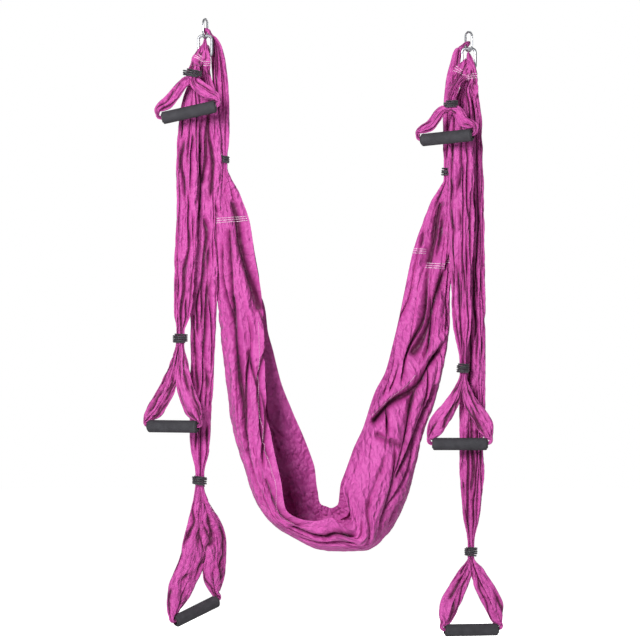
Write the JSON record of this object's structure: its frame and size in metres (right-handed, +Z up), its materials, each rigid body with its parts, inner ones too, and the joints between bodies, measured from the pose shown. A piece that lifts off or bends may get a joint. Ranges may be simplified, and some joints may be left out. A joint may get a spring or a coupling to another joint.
{
  "type": "aerial hammock",
  "caption": "Aerial yoga hammock: a gathered cloth sling with hand straps in several lengths, foam grips, elastic ties and spring-gate carabiners.",
  "frame": {"origin": "the middle of the line between the two points that the upper carabiners hang from", "axes": "+Z up, +X to the viewer's right, -Y towards the viewer, as in the picture"},
  "size_m": [0.8784, 0.2762, 1.4898],
  "materials": {
    "cloth": "matte",
    "elastic": "matte",
    "foam": "matte",
    "tube": "matte",
    "steel": "satin"
  },
  "bodies": {
    "hammock": {"hammock_cloth": "cloth", "left_hammock_tie": "elastic", "right_hammock_tie": "elastic", "left_upper_body": "steel", "left_upper_rivet": "steel", "right_upper_body": "steel", "right_upper_rivet": "steel"},
    "left_upper_gate": {"left_upper_gate": "steel", "left_upper_nose_pin": "steel", "left_upper_spring": "steel"},
    "left_lower": {"left_lower_body": "steel", "left_lower_rivet": "steel"},
    "left_lower_gate": {"left_lower_gate": "steel", "left_lower_nose_pin": "steel", "left_lower_spring": "steel"},
    "left_short_strap": {"left_short_strap": "cloth", "left_short_tie": "elastic"},
    "left_short_grip": {"left_short_grip": "foam", "left_short_core": "tube"},
    "left_medium_strap": {"left_medium_strap": "cloth", "left_medium_tie": "elastic"},
    "left_medium_grip": {"left_medium_grip": "foam", "left_medium_core": "tube"},
    "left_long_strap": {"left_long_strap": "cloth", "left_long_tie": "elastic"},
    "left_long_grip": {"left_long_grip": "foam", "left_long_core": "tube"},
    "right_upper_gate": {"right_upper_gate": "steel", "right_upper_nose_pin": "steel", "right_upper_spring": "steel"},
    "right_lower": {"right_lower_body": "steel", "right_lower_rivet": "steel"},
    "right_lower_gate": {"right_lower_gate": "steel", "right_lower_nose_pin": "steel", "right_lower_spring": "steel"},
    "right_short_strap": {"right_short_strap": "cloth", "right_short_tie": "elastic"},
    "right_short_grip": {"right_short_grip": "foam", "right_short_core": "tube"},
    "right_medium_strap": {"right_medium_strap": "cloth", "right_medium_tie": "elastic"},
    "right_medium_grip": {"right_medium_grip": "foam", "right_medium_core": "tube"},
    "right_long_strap": {"right_long_strap": "cloth", "right_long_tie": "elastic"},
    "right_long_grip": {"right_long_grip": "foam", "right_long_core": "tube"}
  },
  "joints": [
    {"name": "left_upper_gate_hinge", "type": "hinge", "parent": "hammock", "child": "left_upper_gate", "pos_m": [-0.32215, -0.00997, -0.01408], "axis": [-0.9063, 0.4226, 0], "range_deg": [0, 20], "stiffness_Nm_per_rad": 0.05, "springref_deg": -17.19},
    {"name": "left_lower_swing", "type": "hinge", "parent": "hammock", "child": "left_lower", "pos_m": [-0.3175, 0, -0.0225], "axis": [-1, 0, 0], "range_deg": [0, 30]},
    {"name": "left_lower_gate_hinge", "type": "hinge", "parent": "left_lower", "child": "left_lower_gate", "pos_m": [-0.3335, 0, -0.05713], "axis": [0, 1, 0], "range_deg": [0, 20], "stiffness_Nm_per_rad": 0.05, "springref_deg": -17.19},
    {"name": "left_short_swing", "type": "hinge", "parent": "left_lower", "child": "left_short_strap", "pos_m": [-0.3103, 0, -0.0715], "axis": [-1, 0, 0], "range_deg": [0, 60]},
    {"name": "left_short_grip_turn", "type": "hinge", "parent": "left_short_strap", "child": "left_short_grip", "pos_m": [-0.35427, -0.072, -0.21088], "axis": [0.9763, 0, 0.2164], "continuous": true},
    {"name": "left_medium_swing", "type": "hinge", "parent": "left_lower", "child": "left_medium_strap", "pos_m": [-0.3247, 0, -0.0646], "axis": [0, 1, 0], "range_deg": [0, 40]},
    {"name": "left_medium_grip_turn", "type": "hinge", "parent": "left_medium_strap", "child": "left_medium_grip", "pos_m": [-0.39404, -0.034, -0.96279], "axis": [0.9135, -0.4067, 0], "continuous": true},
    {"name": "left_long_swing", "type": "hinge", "parent": "left_lower", "child": "left_long_strap", "pos_m": [-0.3175, 0, -0.0715], "axis": [1, 0, 0], "range_deg": [0, 60]},
    {"name": "left_long_grip_turn", "type": "hinge", "parent": "left_long_strap", "child": "left_long_grip", "pos_m": [-0.33981, 0.004, -1.40937], "axis": [0.7428, 0.5803, 0.3338], "continuous": true},
    {"name": "right_upper_gate_hinge", "type": "hinge", "parent": "hammock", "child": "right_upper_gate", "pos_m": [0.32486, -0.00817, -0.04507], "axis": [-0.7431, -0.6691, 0], "range_deg": [0, 20], "stiffness_Nm_per_rad": 0.05, "springref_deg": -17.19},
    {"name": "right_lower_swing", "type": "hinge", "parent": "hammock", "child": "right_lower", "pos_m": [0.3175, 0, -0.0535], "axis": [-1, 0, 0], "range_deg": [0, 30]},
    {"name": "right_lower_gate_hinge", "type": "hinge", "parent": "right_lower", "child": "right_lower_gate", "pos_m": [0.3015, 0, -0.08812], "axis": [0, 1, 0], "range_deg": [0, 20], "stiffness_Nm_per_rad": 0.05, "springref_deg": -17.19},
    {"name": "right_short_swing", "type": "hinge", "parent": "right_lower", "child": "right_short_strap", "pos_m": [0.3103, 0, -0.1025], "axis": [-1, 0, 0], "range_deg": [0, 60]},
    {"name": "right_short_grip_turn", "type": "hinge", "parent": "right_short_strap", "child": "right_short_grip", "pos_m": [0.26269, -0.072, -0.27113], "axis": [0.9107, -0.4055, 0.0785], "continuous": true},
    {"name": "right_medium_swing", "type": "hinge", "parent": "right_lower", "child": "right_medium_strap", "pos_m": [0.3247, 0, -0.0956], "axis": [0, -1, 0], "range_deg": [0, 40]},
    {"name": "right_medium_grip_turn", "type": "hinge", "parent": "right_medium_strap", "child": "right_medium_grip", "pos_m": [0.29523, -0.034, -1.00497], "axis": [1, 0, 0], "continuous": true},
    {"name": "right_long_swing", "type": "hinge", "parent": "right_lower", "child": "right_long_strap", "pos_m": [0.3175, 0, -0.1025], "axis": [1, 0, 0], "range_deg": [0, 60]},
    {"name": "right_long_grip_turn", "type": "hinge", "parent": "right_long_strap", "child": "right_long_grip", "pos_m": [0.32415, 0.004, -1.45443], "axis": [0.9781, 0.2079, 0], "continuous": true}
  ]
}
